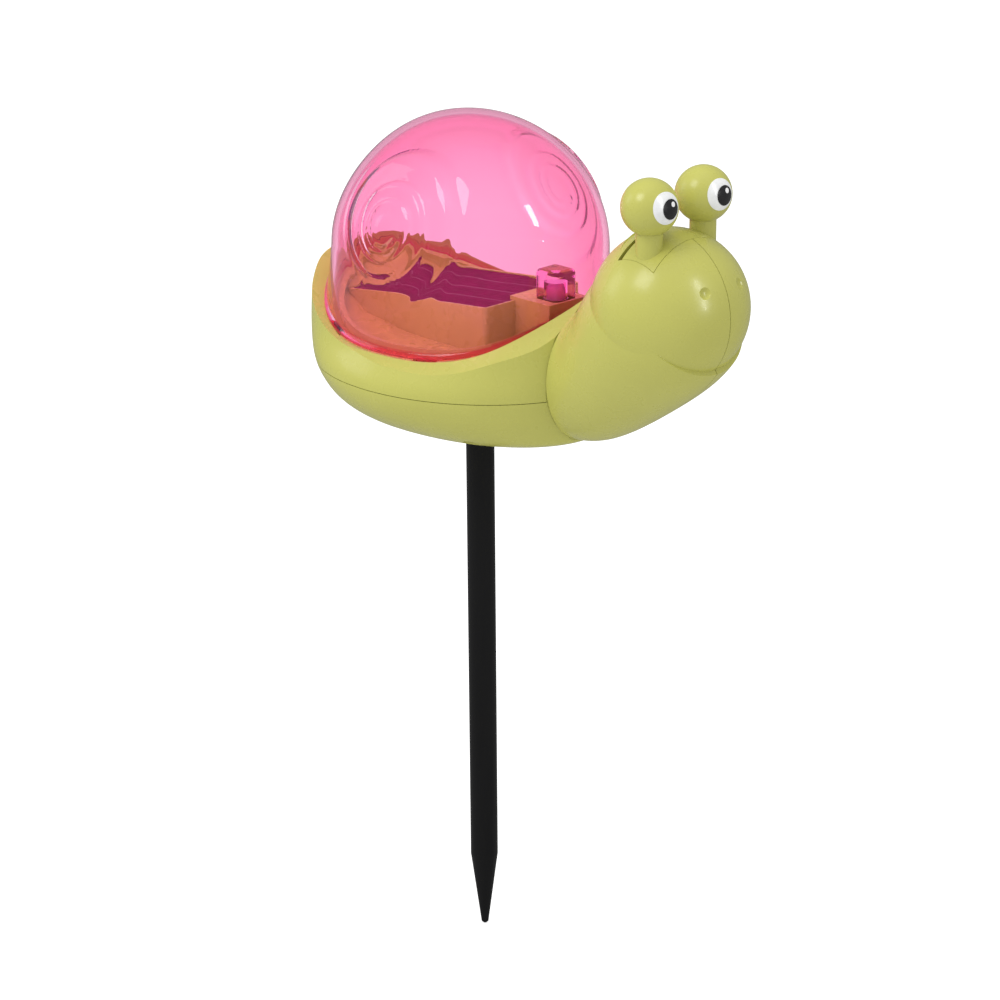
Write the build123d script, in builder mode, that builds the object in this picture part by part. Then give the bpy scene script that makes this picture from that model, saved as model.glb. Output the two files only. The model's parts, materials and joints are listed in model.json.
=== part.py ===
"""Snail garden stake light: a hollow snail that pushes onto a pointed ground stake.

Millimetres, +Z up, +X towards the snail's nose, mirror plane Y = 0.
The origin is on the stake's axis, at the shoulder that the snail's underside rests on.
"""

import os
from math import atan2, cos, degrees, pi, radians, sin, sqrt

from build123d import *

os.makedirs("parts", exist_ok=True)

# ---- driving dimensions -------------------------------------------------------------
wall = 2.0                    # moulded wall of the snail
gap = 0.2                     # clearance round a fixed fitted piece
shadow_gap = 0.2              # hairline between two moulded pieces that meet on the outside
run_gap = 0.06                # radial clearance of the stake in its socket

stake_r = 4.25
stake_length = 141.6          # shoulder to the start of the point
stake_point = 24.6
stake_tip_r = 1.1
spigot_r = 3.3
spigot_length = 24.0

mid_x = -1.8                  # the hull's widest station
seam_z = 21.2                 # level of the joint between the two hull halves
neck_x = 45.0                 # plane where the head's neck meets the hull
neck_z = 26.2
neck_half_width = 17.4
neck_half_height = 19.8

shell_x = -4.2                # centre of the shell in plan
shell_length_r = 45.0         # half length of the shell at its rim
shell_squash = 0.88           # width over length
shell_wall = 1.8
shell_equator_z = 54.4
shell_equator_r = 42.7
shell_top_z = 94.0
shell_foot_z = 27.4
crown_shift = 1.5             # the crown leans this far towards the nose

coil_x = -0.9                 # centre of the coil on the shell's sides
coil_z = 66.2
coil_r = 25.5
coil_shrink = 0.64            # reach of one turn over the turn outside it
coil_turns = 3.25
coil_start = -2.02
coil_steps = 39
ridge_width = 2.4
ridge_out = 0.7

rim_low_z = 30.4              # lowest point of the saddle-shaped rim
rim_tail_x = -49.5
rim_tail_rise = 17.0
rim_nose_x = 42.0
rim_nose_rise = 14.0
shoulder_slope = 0.7          # fall of the foot's shoulder outside the shell, towards the nose

plinth_tail_x = -36.9
plinth_nose_x = 22.8
plinth_half_y = 19.2
plinth_tail_z = 38.8
plinth_nose_z = 44.4

lens_x = 31.5
lens_side = 8.6
lens_floor_z = 45.4

head_x = 75.6                 # centre of the round muzzle
head_z = 51.4
head_r = 22.0
chin_lean = 38.0              # tilt of the mouth's plane, degrees

saddle_tail_x = 71.7
saddle_nose_x = 83.2
saddle_half_y = 15.0
slot_width = 1.5

eye_x = 77.5
eye_y = 10.7
eye_z = 81.6
eye_r = 7.9
stalk_r = 3.7

ROUND = 0.5523                # Bezier handle that makes a quarter ellipse

# Hull stations: height, reach to the nose, reach to the tail, half beam, tail fullness.
# Reaches are measured from mid_x.
hull_stations = (
    (0.0, 11.0, 9.5, 9.0, ROUND),
    (1.2, 22.0, 15.8, 15.2, ROUND),
    (3.2, 36.0, 25.0, 24.0, ROUND),
    (6.4, 46.9, 33.8, 32.4, ROUND),
    (9.6, 48.3, 39.5, 37.8, ROUND),
    (13.0, 49.2, 43.4, 41.6, ROUND),
    (17.0, 49.9, 46.0, 44.2, 0.56),
    (seam_z, 50.5, 47.2, 45.2, 0.59),
    (25.9, 50.9, 47.9, 43.9, 0.64),
    (30.4, 50.9, 48.8, 41.7, 0.68),
    (36.4, 50.2, 49.2, 40.6, 0.69),
    (42.4, 48.9, 49.2, 40.0, 0.69),
    (50.4, 46.6, 48.6, 39.4, 0.69),
)


# ---- shared forms -------------------------------------------------------------------
def rim_height(x):
    """Height of the saddle-shaped rim at a station x."""
    if x < 0:
        return rim_low_z + rim_tail_rise * (x / rim_tail_x) ** 2.6
    return rim_low_z + rim_nose_rise * (x / rim_nose_x) ** 4


def outline(centre_x, nose, tail, beam, fullness):
    """Closed plan outline of four Bezier quarters; fullness squares off the tail."""
    for side in (1, -1):
        Bezier(
            (centre_x + nose, 0),
            (centre_x + nose, side * ROUND * beam),
            (centre_x + ROUND * nose, side * beam),
            (centre_x, side * beam),
        )
        Bezier(
            (centre_x, side * beam),
            (centre_x - fullness * tail, side * beam),
            (centre_x - tail, side * fullness * beam),
            (centre_x - tail, 0),
        )


def hull_form(inset):
    """The snail's foot as one solid, drawn in by inset on every side."""
    with BuildPart() as form:
        for height, nose, tail, beam, fullness in hull_stations:
            lean = min(height / seam_z, 1.0)
            level = height + inset * (1 - lean)
            pull = inset * lean
            with BuildSketch(Plane.XY.offset(level)):
                with BuildLine():
                    outline(mid_x, nose - pull, tail - pull, beam - pull, fullness)
                make_face()
        loft()
    return form.part


def below_rim(offset_z):
    """Everything under the saddle-shaped rim surface, raised by offset_z."""
    stations = [-60 + 10 * i for i in range(12)]
    with BuildPart() as form:
        with BuildSketch(Plane.XZ):
            with BuildLine():
                rim = Spline(*[(x, rim_height(x) + offset_z) for x in stations])
                Line(rim @ 1, (50, 2))
                Line((50, 2), (-60, 2))
                Line((-60, 2), rim @ 0)
            make_face()
        extrude(amount=60, both=True)
    return form.part


def below_shoulder(offset_z):
    """Everything under the foot's shoulder, which falls away outside the shell's rim."""
    stations = [-60 + 5 * i for i in range(23)]
    far = 60.0
    with BuildPart() as form:
        for y in (0.0, far):
            tops = []
            for x in stations:
                along = (x - shell_x) / (shell_length_r + 1.5)
                shell_y = (shell_length_r * shell_squash + 0.8) * sqrt(max(1 - along**2, 0))
                share = min(max((x + 30) / 40, 0), 1)
                slope = shoulder_slope * share * share * (3 - 2 * share)
                tops.append((x, rim_height(x) + offset_z + slope * (shell_y - y)))
            with BuildSketch(Plane.XZ.offset(-y)):
                with BuildLine():
                    edge = Spline(*tops)
                    Line(edge @ 1, (50, -40))
                    Line((50, -40), (-60, -40))
                    Line((-60, -40), edge @ 0)
                make_face()
        loft(ruled=True)
        mirror(about=Plane.XZ)
    return form.part


def dome_form(inset):
    """The shell's dome as one solid, drawn in by inset on every side."""
    crown = shell_top_z - shell_equator_z
    stations = [(shell_foot_z, shell_length_r, 0.61), (37.0, 44.2, 0.60), (46.0, 43.2, 0.57)]
    for lift in (0, 14, 28, 42, 56, 69, 80, 86):
        height = shell_equator_z + (crown - inset) * sin(radians(lift))
        reach = (shell_equator_r - inset) * cos(radians(lift)) + inset
        stations.append((height, reach, ROUND))
    with BuildPart() as form:
        for height, reach, fullness in stations:
            length_r = reach - inset
            width_r = reach * shell_squash - inset
            if height > shell_equator_z:
                width_r = length_r * shell_squash
            rise = max(height - shell_equator_z, 0) / crown
            centre_x = shell_x + crown_shift * rise
            with BuildSketch(Plane.XY.offset(height)):
                with BuildLine():
                    outline(centre_x, length_r, length_r, width_r, fullness)
                make_face()
        loft()
    return form.part


def head_form(inset):
    """Neck and round muzzle as one solid, drawn in by inset on every side."""
    # neck sections: centre x, centre z, lean, half width, half height
    sections = (
        (neck_x, neck_z, 0, neck_half_width, neck_half_height),
        (52.0, 28.6, 10, 18.6, 20.0),
        (59.9, 35.2, 22, 20.2, 21.0),
        (67.3, 41.4, 33, 21.1, 21.5),
        (74.4, 47.6, chin_lean, 21.3, 21.9),
        (79.4, 53.8, chin_lean, 20.8, 22.5),
    )
    with BuildPart() as form:
        for x, z, lean, half_width, half_height in sections:
            facing = Plane(
                origin=(x, 0, z),
                x_dir=(0, 1, 0),
                z_dir=(cos(radians(lean)), 0, sin(radians(lean))),
            )
            with BuildSketch(facing):
                Ellipse(half_width - inset, half_height - inset)
        loft()
        with Locations((head_x, 0, head_z)):
            Sphere(head_r - inset)
    return form.part


def slab(x_from, x_to, half_y, z_from, z_to):
    """A plain block centred on the mirror plane, used for pockets and bosses."""
    with BuildPart() as block:
        with Locations(((x_from + x_to) / 2, 0, (z_from + z_to) / 2)):
            Box(x_to - x_from, 2 * half_y, z_to - z_from)
    return block.part


def coil_point(turn, offset):
    """Point of the coil's ridge seen from the side; it winds in as turn grows."""
    reach = coil_r * coil_shrink**turn + offset * coil_shrink ** (turn / 2)
    angle = coil_start + 2 * pi * turn
    return coil_x + reach * cos(angle), coil_z + reach * sin(angle)


def rim_place(turn, inset):
    """Location on the shell's plan ellipse, X along the edge, drawn in by inset."""
    half_length = shell_length_r - inset
    half_width = shell_length_r * shell_squash - inset
    x = half_length * cos(radians(turn))
    y = half_width * sin(radians(turn))
    heading = degrees(atan2(half_width * cos(radians(turn)), -half_length * sin(radians(turn))))
    return x + shell_x, y, heading


def save(piece, name):
    """Label one finished piece and write it to its own file."""
    piece.label = name
    export_step(piece, f"parts/{name}.step")


hull_outer = hull_form(0)
hull_inner = hull_form(wall)
foot_block = slab(-80, neck_x, 60, -5, 70)
hollow_block = slab(-80, neck_x - wall, 60, -5, 70)

# ---- ground stake -------------------------------------------------------------------
# black rod with a pencil point; the thin spigot on top enters the snail's socket
with BuildPart() as ground_stake:
    with BuildSketch(Plane.XZ):
        with BuildLine():
            tip_z = -stake_length - stake_point
            Polyline(
                (0, spigot_length),
                (spigot_r - 0.8, spigot_length),
                (spigot_r, spigot_length - 0.8),
                (spigot_r, 0),
                (stake_r, 0),
                (stake_r, -stake_length),
                (stake_tip_r, tip_z + 0.5),
                (stake_tip_r - 0.5, tip_z),
                (0, tip_z),
                (0, spigot_length),
            )
        make_face()
    revolve(axis=Axis.Z)
save(ground_stake.part, "ground_stake")

# ---- places shared by the hull's inner pieces ---------------------------------------
socket_r = spigot_r + run_gap
socket_outer_r = 6.2
socket_top_z = spigot_length + 2.6
post_places = [(x, side * y) for x, y in ((24.0, 26.0), (-33.0, 23.0)) for side in (1, -1)]
post_r = 4.2
screw_head_r = 2.6
screw_shank_r = 1.3
screw_seat_z = 12.0
screw_top_z = 27.5

cell_x = -20.5                # AAA cell lying across the foot
cell_z = 12.6
cell_r = 5.2
cell_length = 44.5
well_tail_x = cell_x - 8.0
well_nose_x = cell_x + 8.0
well_half_y = 27.5
well_roof_z = 18.8

switch_x = 24.0
switch_floor_z = 5.5
knob_travel = 1.5

cover_screw_y = 31.5
cover_post_r = 5.6
cover_ear_r = 4.0
cover_ear_top_z = 12.5
neck_hole = (11.0, 12.6)      # half width and half height of the hull's neck opening
rib_length_r = 40.7
rib_width_r = 35.5
rib_height = 2.5

tab_turns = (12.7, 64.7, 113.3, -113.3, -64.7, -12.7)
tab_inset = 0.9
tab_width = 6.6
tab_thick = 1.4
tab_drop = 4.5

# ---- lower half of the foot ---------------------------------------------------------
with BuildPart() as foot_cavity:
    add(hull_inner)
    add(hollow_block, mode=Mode.INTERSECT)

# posts, battery well, socket and switch floor, trimmed to the outside of the hull
with BuildPart() as lower_works:
    Cylinder(socket_outer_r, socket_top_z, align=(Align.CENTER, Align.CENTER, Align.MIN))
    with Locations(*[(x, y, 0) for x, y in post_places]):
        Cylinder(post_r, seam_z, align=(Align.CENTER, Align.CENTER, Align.MIN))
    add(slab(well_tail_x - 1.6, well_nose_x + 1.6, well_half_y + 1.6, 0, well_roof_z + 1.5))
    add(slab(switch_x - 5.5, switch_x + 5.5, 9.0, 0, switch_floor_z + 1.5))
    with Locations((cell_x, cover_screw_y, 0)):
        Cylinder(cover_post_r, well_roof_z, align=(Align.CENTER, Align.CENTER, Align.MIN))
    add(hull_outer, mode=Mode.INTERSECT)

cover_block = slab(well_tail_x, well_nose_x, well_half_y, -5, well_roof_z)
with BuildPart() as cover_ear:
    with Locations((cell_x, cover_screw_y, 0)):
        Cylinder(cover_ear_r, cover_ear_top_z, align=(Align.CENTER, Align.CENTER, Align.MIN))
    with Locations((cell_x, cover_screw_y - cover_ear_r / 2, cover_ear_top_z / 2)):
        Box(2 * cover_ear_r, cover_ear_r, cover_ear_top_z)

with BuildPart() as foot_lower:
    add(hull_outer)
    add(foot_block, mode=Mode.INTERSECT)
    split(bisect_by=Plane.XY.offset(seam_z - shadow_gap), keep=Keep.BOTTOM)
    add(foot_cavity.part, mode=Mode.SUBTRACT)
    add(lower_works.part)
    add(cover_block, mode=Mode.SUBTRACT)
    add(cover_ear.part, mode=Mode.SUBTRACT)
    with Locations((cell_x, cover_screw_y, 0)):
        Cylinder(screw_shank_r + run_gap, well_roof_z - 2,
                 align=(Align.CENTER, Align.CENTER, Align.MIN), mode=Mode.SUBTRACT)
    Cylinder(socket_r, spigot_length + 0.6, align=(Align.CENTER, Align.CENTER, Align.MIN),
             mode=Mode.SUBTRACT)
    with Locations(*[(x, y, 0) for x, y in post_places]):
        Cylinder(screw_head_r + gap, screw_seat_z, align=(Align.CENTER, Align.CENTER, Align.MIN),
                 mode=Mode.SUBTRACT)
        Cylinder(screw_shank_r + gap, seam_z + 1, align=(Align.CENTER, Align.CENTER, Align.MIN),
                 mode=Mode.SUBTRACT)
    add(slab(switch_x - 4, switch_x + 4, 7.5, -5, switch_floor_z), mode=Mode.SUBTRACT)
    add(slab(switch_x - 1.4, switch_x + 1.4, 3.4, 0, switch_floor_z + 2), mode=Mode.SUBTRACT)
    with BuildSketch(Plane.YZ.offset(neck_x - wall - 1)):
        with Locations((0, neck_z)):
            Ellipse(neck_hole[0], neck_hole[1])
    extrude(amount=wall + 2, mode=Mode.SUBTRACT)
save(foot_lower.part, "foot_lower")

# ---- upper half of the foot ---------------------------------------------------------
with BuildPart() as upper_works:
    with Locations(*[(x, y, seam_z) for x, y in post_places]):
        Cylinder(post_r, 20, align=(Align.CENTER, Align.CENTER, Align.MIN))
    add(hull_outer, mode=Mode.INTERSECT)
    add(below_rim(-0.5), mode=Mode.INTERSECT)
    add(below_shoulder(-0.5), mode=Mode.INTERSECT)

# raised locating rib that the shell drops over
with BuildPart() as rim_rib:
    with BuildSketch(Plane.XY.offset(rim_low_z - 4)):
        with Locations((shell_x, 0)):
            Ellipse(rib_length_r, rib_width_r)
            Ellipse(rib_length_r - 1.5, rib_width_r - 1.5, mode=Mode.SUBTRACT)
    extrude(amount=30)
    add(below_rim(rib_height), mode=Mode.INTERSECT)

with BuildPart() as plinth:
    with BuildSketch(Plane.XZ):
        Polygon(
            (plinth_tail_x, seam_z + 4),
            (plinth_nose_x, seam_z + 4),
            (plinth_nose_x, plinth_nose_z),
            (plinth_tail_x, plinth_tail_z),
            align=None,
        )
    extrude(amount=plinth_half_y, both=True)
    vertical = plinth.edges().filter_by(Axis.Z)
    fillet(vertical, 1.5)

with BuildPart() as foot_room:
    add(foot_cavity.part)
    add(below_rim(-wall), mode=Mode.INTERSECT)
    add(below_shoulder(-1.2 * wall), mode=Mode.INTERSECT)

with BuildPart() as plinth_room:
    with BuildSketch(Plane.XZ):
        Polygon(
            (plinth_tail_x + wall, seam_z - 1),
            (plinth_nose_x - wall, seam_z - 1),
            (plinth_nose_x - wall, plinth_nose_z + 1),
            (plinth_tail_x + wall, plinth_tail_z + 1),
            align=None,
        )
    extrude(amount=plinth_half_y - wall, both=True)

panel_tilt = atan2(plinth_nose_z - plinth_tail_z, plinth_nose_x - plinth_tail_x)
panel_plane = Plane(
    origin=(
        (plinth_tail_x + plinth_nose_x) / 2,
        0,
        (plinth_tail_z + plinth_nose_z) / 2,
    ),
    x_dir=(cos(panel_tilt), 0, sin(panel_tilt)),
    z_dir=(-sin(panel_tilt), 0, cos(panel_tilt)),
)
panel_length = (plinth_nose_x - plinth_tail_x) / cos(panel_tilt) - 1.8
panel_width = 2 * plinth_half_y - 1.8
panel_thick = 2.4
seal_thick = 0.8

with BuildPart() as panel_pocket:
    with BuildSketch(panel_plane):
        Rectangle(panel_length + 0.3, panel_width + 0.3)
    extrude(amount=-(panel_thick + seal_thick))

with BuildPart() as panel_ledge:
    with BuildSketch(panel_plane.offset(-(panel_thick + seal_thick))):
        Rectangle(panel_length + 1.0, panel_width + 1.0)
        Rectangle(panel_length - 7.0, panel_width - 7.0, mode=Mode.SUBTRACT)
    extrude(amount=-1.6)

lens_block_nose_x = 36.4
lens_block_half_y = 7.5
led_r = 2.5

with BuildPart() as foot_upper:
    add(hull_outer)
    add(foot_block, mode=Mode.INTERSECT)
    split(bisect_by=Plane.XY.offset(seam_z), keep=Keep.TOP)
    add(below_rim(0), mode=Mode.INTERSECT)
    add(below_shoulder(0), mode=Mode.INTERSECT)
    add(foot_room.part, mode=Mode.SUBTRACT)
    add(upper_works.part)
    add(rim_rib.part)
    add(plinth.part)
    add(slab(plinth_nose_x - wall, lens_block_nose_x, lens_block_half_y, 31, lens_floor_z))
    add(plinth_room.part, mode=Mode.SUBTRACT)
    add(panel_ledge.part)
    add(panel_pocket.part, mode=Mode.SUBTRACT)
    add(slab(plinth_nose_x, lens_block_nose_x - wall, lens_block_half_y - wall, 25,
             lens_floor_z - wall), mode=Mode.SUBTRACT)
    add(slab(plinth_nose_x - wall - 1, plinth_nose_x + 1, 5, 22, 29), mode=Mode.SUBTRACT)
    with Locations((lens_x, 0, lens_floor_z - wall - 1)):
        Cylinder(led_r + 0.5, wall + 2, align=(Align.CENTER, Align.CENTER, Align.MIN),
                 mode=Mode.SUBTRACT)
    with Locations(*[(x, y, seam_z - 1) for x, y in post_places]):
        Cylinder(screw_shank_r, screw_top_z - seam_z + 1,
                 align=(Align.CENTER, Align.CENTER, Align.MIN), mode=Mode.SUBTRACT)
    for turn in tab_turns:
        x, y, heading = rim_place(turn, tab_inset)
        z = rim_height(x)
        with Locations(Location((x, y, z), (0, 0, heading))):
            Box(tab_width + 1.0, tab_thick + 1.0, 2 * tab_drop + 2, mode=Mode.SUBTRACT)
    with BuildSketch(Plane.YZ.offset(neck_x - wall - 1)):
        with Locations((0, neck_z)):
            Ellipse(neck_hole[0], neck_hole[1])
    extrude(amount=wall + 2, mode=Mode.SUBTRACT)
save(foot_upper.part, "foot_upper")

# ---- clear shell --------------------------------------------------------------------
seat_gap = 0.3                # the shell's rim floats this far above the foot
lip_out = 0.6
lip_height = 1.5

with BuildPart() as shell_lip:
    add(dome_form(-lip_out))
    add(dome_form(0.6), mode=Mode.SUBTRACT)
    add(below_rim(seat_gap + lip_height), mode=Mode.INTERSECT)

with BuildPart() as coil_ridge:
    with BuildSketch(Plane.XZ):
        with BuildLine():
            turns = [coil_turns * i / coil_steps for i in range(coil_steps + 1)]
            outer_edge = Spline(*[coil_point(turn, ridge_width / 2) for turn in turns])
            inner_edge = Spline(*[coil_point(turn, -ridge_width / 2) for turn in turns])
            Line(outer_edge @ 0, inner_edge @ 0)
            Line(outer_edge @ 1, inner_edge @ 1)
        make_face()
    extrude(amount=60, both=True)
    add(dome_form(-ridge_out), mode=Mode.INTERSECT)
    add(dome_form(0.6), mode=Mode.SUBTRACT)

with BuildPart() as shell:
    add(dome_form(0))
    add(dome_form(shell_wall), mode=Mode.SUBTRACT)
    add(shell_lip.part)
    add(coil_ridge.part)
    add(below_rim(seat_gap), mode=Mode.SUBTRACT)
    for turn in tab_turns:
        x, y, heading = rim_place(turn, tab_inset)
        tab_top_z = rim_height(x) + seat_gap + 1.2
        tab_height = tab_drop + seat_gap + 1.2
        with Locations(Location((x, y, tab_top_z - tab_height / 2), (0, 0, heading))):
            Box(tab_width, tab_thick, tab_height)
save(shell.part, "shell")

# ---- head, in two halves that meet on the mirror plane ---------------------------------
head_wall = 2.4

with BuildPart() as head_cavity:
    add(head_form(head_wall))
    add(slab(neck_x + wall, 120, 60, 0, 120), mode=Mode.INTERSECT)

# hollow neck tube with a flange that the foot's two halves close round
with BuildPart() as neck_plug:
    with BuildSketch(Plane.YZ.offset(41.0)):
        with Locations((0, neck_z)):
            Ellipse(neck_hole[0] - gap, neck_hole[1] - gap)
    extrude(amount=neck_x - 41.0)
    with BuildSketch(Plane.YZ.offset(41.0)):
        with Locations((0, neck_z)):
            Ellipse(neck_hole[0] + 1.4, neck_hole[1] + 1.2)
    extrude(amount=neck_x - wall - gap - 41.0)

eye_pocket = slab(saddle_tail_x - slot_width, saddle_nose_x + 0.15, saddle_half_y + 0.15, 55, 85)

with BuildPart() as saddle_shelf:
    with Locations((head_x, 0, head_z)):
        Sphere(head_r - head_wall)
        Sphere(head_r - head_wall - 1.8, mode=Mode.SUBTRACT)
    add(slab(saddle_tail_x + 1.0, saddle_nose_x + 4, saddle_half_y + 3, 56, 85), mode=Mode.INTERSECT)

head_post_places = ((60.0, 36.4), (85.0, 50.4))
nostril_yaw = 20.0
nostril_pitch = 24.0

with BuildPart() as head_whole:
    add(head_form(0))
    add(head_cavity.part, mode=Mode.SUBTRACT)
    add(neck_plug.part)
    add(eye_pocket, mode=Mode.SUBTRACT)
    add(saddle_shelf.part)
    with BuildSketch(Plane.YZ.offset(40)):
        with Locations((0, neck_z)):
            Ellipse(neck_hole[0] - 2.4, neck_hole[1] - 2.4)
    extrude(amount=neck_x + wall + 1 - 40, mode=Mode.SUBTRACT)
    with BuildSketch(Plane.YZ.offset(neck_x - 0.1)):
        with Locations((0, neck_z)):
            Rectangle(60, 60)
            Ellipse(neck_hole[0] - gap, neck_hole[1] - gap, mode=Mode.SUBTRACT)
    extrude(amount=shadow_gap + 0.1, mode=Mode.SUBTRACT)

with BuildPart() as head_posts:
    with BuildSketch(Plane.XZ):
        with Locations(*head_post_places):
            Circle(3.6)
    extrude(amount=30, both=True)
    add(head_form(1.0), mode=Mode.INTERSECT)

with BuildPart() as head_screw_holes:
    with BuildSketch(Plane.XZ):
        with Locations(*head_post_places):
            Circle(screw_shank_r)
    extrude(amount=9)
    with BuildSketch(Plane.XZ):
        with Locations(*head_post_places):
            Circle(screw_shank_r + gap)
    extrude(amount=-10)
    with BuildSketch(Plane.XZ.offset(-6)):
        with Locations(*head_post_places):
            Circle(screw_head_r + gap)
    extrude(amount=-30)

nostril_reach = head_r + 1.5
for name, side in (("head_left", 1), ("head_right", -1)):
    with BuildPart() as head_half:
        add(head_whole.part)
        add(head_posts.part)
        if side > 0:
            split(bisect_by=Plane.XZ.offset(-shadow_gap / 2), keep=Keep.BOTTOM)
        else:
            split(bisect_by=Plane.XZ.offset(shadow_gap / 2), keep=Keep.TOP)
        add(head_screw_holes.part, mode=Mode.SUBTRACT)
        nostril = (
            head_x + nostril_reach * cos(radians(nostril_pitch)) * cos(radians(nostril_yaw)),
            side * nostril_reach * cos(radians(nostril_pitch)) * sin(radians(nostril_yaw)),
            head_z + nostril_reach * sin(radians(nostril_pitch)),
        )
        with Locations(nostril):
            Sphere(2.3, mode=Mode.SUBTRACT)
    save(head_half.part, name)

# ---- eye saddle and eyes --------------------------------------------------------------
peg_r = 2.4
peg_top_z = 79.4
stalk_top_z = 74.8

with BuildPart() as saddle_stalks:
    with Locations(*[(eye_x, side * eye_y, 62) for side in (1, -1)]):
        Cylinder(stalk_r, stalk_top_z - 62, align=(Align.CENTER, Align.CENTER, Align.MIN))
        Cylinder(peg_r, peg_top_z - 62, align=(Align.CENTER, Align.CENTER, Align.MIN))

with BuildPart() as eye_saddle:
    with Locations((head_x, 0, head_z)):
        Sphere(head_r)
    add(slab(saddle_tail_x, saddle_nose_x, saddle_half_y, 60, 85), mode=Mode.INTERSECT)
    add(saddle_stalks.part)
    with Locations((head_x, 0, head_z)):
        Sphere(head_r - head_wall, mode=Mode.SUBTRACT)
save(eye_saddle.part, "eye_saddle")

# each eye is a ball on its stalk, with a printed white disc and a printed pupil
print_thick = 0.12
white_yaw = -7.0
white_pitch = 8.5
white_half_angle = 33.0
pupil_yaw = 0.0
pupil_pitch = 5.5
pupil_half_angle = 20.0


def printed_disc(centre, radius, yaw, pitch, half_angle):
    """Thin cap of ink on a ball, facing the given yaw and pitch."""
    with BuildPart() as disc:
        with BuildSketch(Plane.XZ):
            with BuildLine():
                inner = CenterArc((0, 0), radius, 90 - half_angle, half_angle)
                outer = CenterArc((0, 0), radius + print_thick, 90 - half_angle, half_angle)
                Line(inner @ 0, outer @ 0)
                Line(inner @ 1, outer @ 1)
            make_face()
        revolve(axis=Axis.Z)
    facing = Plane(
        origin=centre,
        z_dir=(
            cos(radians(pitch)) * cos(radians(yaw)),
            cos(radians(pitch)) * sin(radians(yaw)),
            sin(radians(pitch)),
        ),
    )
    return facing.location * disc.part


for name, side in (("left", 1), ("right", -1)):
    centre = (eye_x, side * eye_y, eye_z)
    with BuildPart() as eye:
        with Locations(centre):
            Sphere(eye_r)
        with Locations((eye_x, side * eye_y, eye_z - 20)):
            Cylinder(stalk_r + 0.05, stalk_top_z - eye_z + 20,
                     align=(Align.CENTER, Align.CENTER, Align.MIN), mode=Mode.SUBTRACT)
            Cylinder(peg_r, peg_top_z + 0.3 - eye_z + 20,
                     align=(Align.CENTER, Align.CENTER, Align.MIN), mode=Mode.SUBTRACT)
    save(eye.part, f"eye_{name}")
    white = printed_disc(centre, eye_r, white_yaw, white_pitch, white_half_angle)
    save(white, f"eye_white_{name}")
    pupil = printed_disc(centre, eye_r + print_thick, pupil_yaw, pupil_pitch, pupil_half_angle)
    save(pupil, f"pupil_{name}")

# ---- screws ---------------------------------------------------------------------------
screw_head_thick = 1.7


def screw(length):
    """Pan-head screw with a cross recess, head down, seated at the origin."""
    with BuildPart() as body:
        with BuildSketch(Plane.XZ):
            with BuildLine():
                Polyline(
                    (0, -screw_head_thick),
                    (screw_head_r - 0.5, -screw_head_thick),
                    (screw_head_r, -screw_head_thick + 0.5),
                    (screw_head_r, 0),
                    (screw_shank_r, 0),
                    (screw_shank_r, length - 1.2),
                    (0.2, length),
                    (0, length),
                    close=True,
                )
            make_face()
        revolve(axis=Axis.Z)
        with Locations((0, 0, 0.4 - screw_head_thick)):
            Box(2.6, 0.7, 0.81, mode=Mode.SUBTRACT)
            Box(0.7, 2.6, 0.81, mode=Mode.SUBTRACT)
    return body.part


long_screw = screw(screw_top_z - screw_seat_z - 1.0)
with BuildPart() as foot_screws:
    with Locations(*[(x, y, screw_seat_z) for x, y in post_places]):
        add(long_screw)
save(foot_screws.part, "foot_screws")

short_screw = screw(14.0)
with BuildPart() as head_screws:
    for x, z in head_post_places:
        with Locations(Location((x, 6.0, z), (90, 0, 0))):
            add(short_screw)
save(head_screws.part, "head_screws")

# ---- battery, its contacts and its cover --------------------------------------------------
with BuildPart() as battery_cell:
    with BuildSketch(Plane.XY.offset(cell_z)):
        with BuildLine():
            half = cell_length / 2
            Polyline(
                (cell_x, -half + 1),
                (cell_x + cell_r, -half + 1),
                (cell_x + cell_r, half - 1),
                (cell_x + 1.9, half - 1),
                (cell_x + 1.9, half),
                (cell_x, half),
                close=True,
            )
        make_face()
    revolve(axis=Axis((cell_x, 0, cell_z), (0, 1, 0)))
save(battery_cell.part, "battery_cell")

contact_y = well_half_y - 0.5
plate_y = well_half_y - 0.25
plate_z = cell_z + 0.6
with BuildPart() as battery_plate:
    with Locations((cell_x, plate_y, plate_z)):
        Box(7.5, 0.5, 7.0)
    with Locations(Location((cell_x, (contact_y + cell_length / 2) / 2, cell_z), (90, 0, 0))):
        Cylinder(2.4, contact_y - cell_length / 2)
save(battery_plate.part, "battery_plate")

spring_r = 2.2
spring_wire_r = 0.35
spring_height = contact_y - (cell_length / 2 - 1) - 2 * spring_wire_r
with BuildPart() as spring_coil:
    with BuildLine() as spring_path:
        Helix(pitch=spring_height / 4, height=spring_height, radius=spring_r)
    with BuildSketch(Plane(origin=spring_path.line @ 0, z_dir=spring_path.line % 0)):
        Circle(spring_wire_r)
    sweep(is_frenet=True)

with BuildPart() as battery_spring:
    with Locations((cell_x, -plate_y, plate_z)):
        Box(7.5, 0.5, 7.0)
    add(Pos(cell_x, -contact_y + spring_wire_r - 0.1, cell_z) * Rot(-90, 0, 0) * spring_coil.part)
save(battery_spring.part, "battery_spring")

cover_gap = 0.35
with BuildPart() as cover_shape:
    add(slab(well_tail_x + cover_gap, well_nose_x - cover_gap, well_half_y - cover_gap, -5, 20))
    with Locations((cell_x, cover_screw_y, -5)):
        Cylinder(cover_ear_r - cover_gap, cover_ear_top_z + 5 - 0.15,
                 align=(Align.CENTER, Align.CENTER, Align.MIN))
    with Locations((cell_x, cover_screw_y - cover_ear_r, cover_ear_top_z / 2)):
        Box(2 * (cover_ear_r - cover_gap), 2 * cover_ear_r, cover_ear_top_z - 0.3)

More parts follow.
